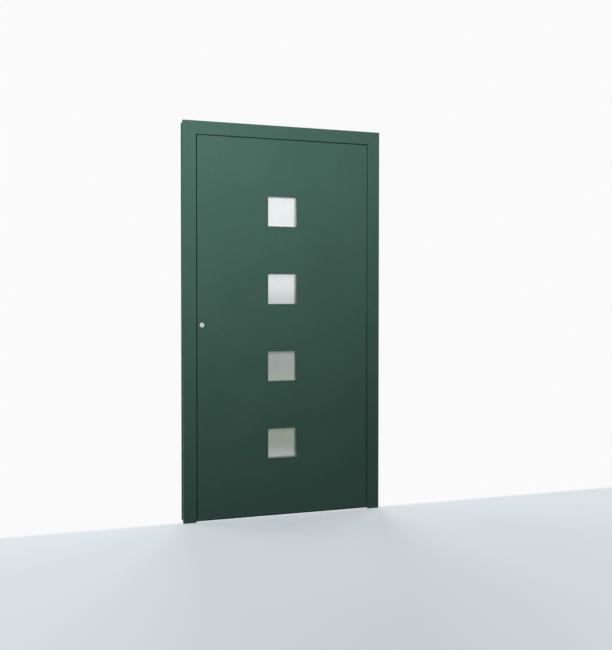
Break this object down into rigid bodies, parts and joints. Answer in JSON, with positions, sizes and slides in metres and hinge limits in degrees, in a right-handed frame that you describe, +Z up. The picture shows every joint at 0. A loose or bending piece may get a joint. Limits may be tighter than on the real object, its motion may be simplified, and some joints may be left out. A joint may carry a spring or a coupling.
{
  "type": "front door with frame",
  "caption": "Flush inward-opening aluminium front door in its frame, with a column of square windows, multipoint lock, inside lever and barrel hinges.",
  "frame": {"origin": "on the floor, at the middle of the frame's width and of its depth, on the underside of the threshold", "axes": "+Z up, -Y outdoors, +Y into the house, +X towards the hinge side"},
  "size_m": [1.1, 0.1425, 2.1],
  "materials": {
    "green_coat": "fine-textured powder coat",
    "raw_aluminium": "mill",
    "anodised": "anodised satin",
    "polyamide": "matte",
    "seal_rubber": "matte",
    "clear_glass": "polished",
    "satin_glass": "acid-etched",
    "spacer": "matte",
    "foam": "closed-cell foam",
    "stainless": "brushed",
    "lock_steel": "zinc-plated",
    "nickel": "satin nickel"
  },
  "bodies": {
    "frame": {"lock_jamb": "green_coat", "hinge_jamb": "green_coat", "head": "green_coat", "frame_insulating_bars": "polyamide", "frame_corner_cleats": "raw_aluminium", "frame_gasket": "seal_rubber", "threshold_rails": "anodised", "threshold_insulator": "polyamide", "main_strike": "stainless", "hook_strikes": "stainless", "keeper_housing": "lock_steel", "frame_hinge_wings": "stainless", "hinge_pins": "stainless", "hinge_caps": "stainless", "frame_hinge_screws": "stainless"},
    "leaf": {"lock_stile": "green_coat", "hinge_stile": "green_coat", "top_rail": "green_coat", "bottom_rail": "green_coat", "outer_skin": "green_coat", "inner_skin": "green_coat", "inner_glazing_frames": "green_coat", "leaf_corner_cleats": "raw_aluminium", "drop_seal_channel": "raw_aluminium", "leaf_insulating_bars": "polyamide", "hinge_bushes": "polyamide", "glazing_tapes": "seal_rubber", "outer_panes": "clear_glass", "middle_panes": "clear_glass", "satin_panes": "satin_glass", "glass_spacers": "spacer", "insulation_core": "foam", "lever_rose": "stainless", "thumb_turn_rose": "stainless", "leaf_hinge_wings": "stainless", "forend": "stainless", "cylinder_collar": "stainless", "leaf_hinge_screws": "stainless", "lock_case": "lock_steel", "lock_case_cover": "lock_steel", "hook_cases": "lock_steel", "cylinder_housing": "nickel"},
    "keeper": {"latch_keeper": "lock_steel"},
    "drop_seal": {"drop_seal_bar": "raw_aluminium", "drop_seal_lip": "seal_rubber"},
    "latch": {"latch_bolt": "lock_steel"},
    "deadbolt": {"deadbolt": "lock_steel"},
    "lower_hook": {"hook_lower": "lock_steel"},
    "upper_hook": {"hook_upper": "lock_steel"},
    "rods": {"drive_rods": "lock_steel"},
    "lever": {"lever_handle": "stainless", "spindle": "lock_steel", "lock_follower": "lock_steel"},
    "cylinder": {"cylinder_plug": "nickel", "drive_cam": "lock_steel", "thumb_turn": "stainless"}
  },
  "joints": [
    {"name": "door_swing", "type": "hinge", "parent": "frame", "child": "leaf", "pos_m": [0.4985, 0.053, 1.04], "axis": [0, 0, -1], "range_deg": [0, 105]},
    {"name": "keeper_swing", "type": "hinge", "parent": "frame", "child": "keeper", "pos_m": [-0.514, 0.0173, 1.152], "axis": [0, 0, -1], "range_deg": [0, 90]},
    {"name": "drop_seal_lift", "type": "slide", "parent": "leaf", "child": "drop_seal", "axis": [0, 0, 1], "range_m": [0, 0.005]},
    {"name": "lever_turn", "type": "hinge", "parent": "leaf", "child": "lever", "pos_m": [-0.451, 0.06, 1.13], "axis": [0, 1, 0], "range_deg": [0, 40], "stiffness_Nm_per_rad": 1.2, "springref_deg": -28.65},
    {"name": "latch_slide", "type": "slide", "parent": "leaf", "child": "latch", "axis": [1, 0, 0], "range_m": [0, 0.0121]},
    {"name": "cylinder_turn", "type": "hinge", "parent": "leaf", "child": "cylinder", "pos_m": [-0.451, 0, 1.036], "axis": [0, 1, 0], "range_deg": [0, 360]},
    {"name": "deadbolt_slide", "type": "slide", "parent": "leaf", "child": "deadbolt", "axis": [-1, 0, 0], "range_m": [0, 0.0201]},
    {"name": "lower_hook_swing", "type": "hinge", "parent": "leaf", "child": "lower_hook", "pos_m": [-0.478, 0.00725, 0.4], "axis": [0, 1, 0], "range_deg": [0, 90.1]},
    {"name": "upper_hook_swing", "type": "hinge", "parent": "leaf", "child": "upper_hook", "pos_m": [-0.478, 0.00725, 1.716], "axis": [0, 1, 0], "range_deg": [0, 90.1]},
    {"name": "drive_rod_slide", "type": "slide", "parent": "leaf", "child": "rods", "axis": [0, 0, -1], "range_m": [0, 0.0181]}
  ],
  "couplings": [
    {"joint": "latch_slide", "follows": "lever_turn", "m_per_rad": 0.0172},
    {"joint": "deadbolt_slide", "follows": "cylinder_turn", "m_per_rad": 0.0031831},
    {"joint": "lower_hook_swing", "follows": "cylinder_turn", "ratio": 0.25},
    {"joint": "upper_hook_swing", "follows": "cylinder_turn", "ratio": 0.25},
    {"joint": "drive_rod_slide", "follows": "cylinder_turn", "m_per_rad": 0.0028648}
  ]
}
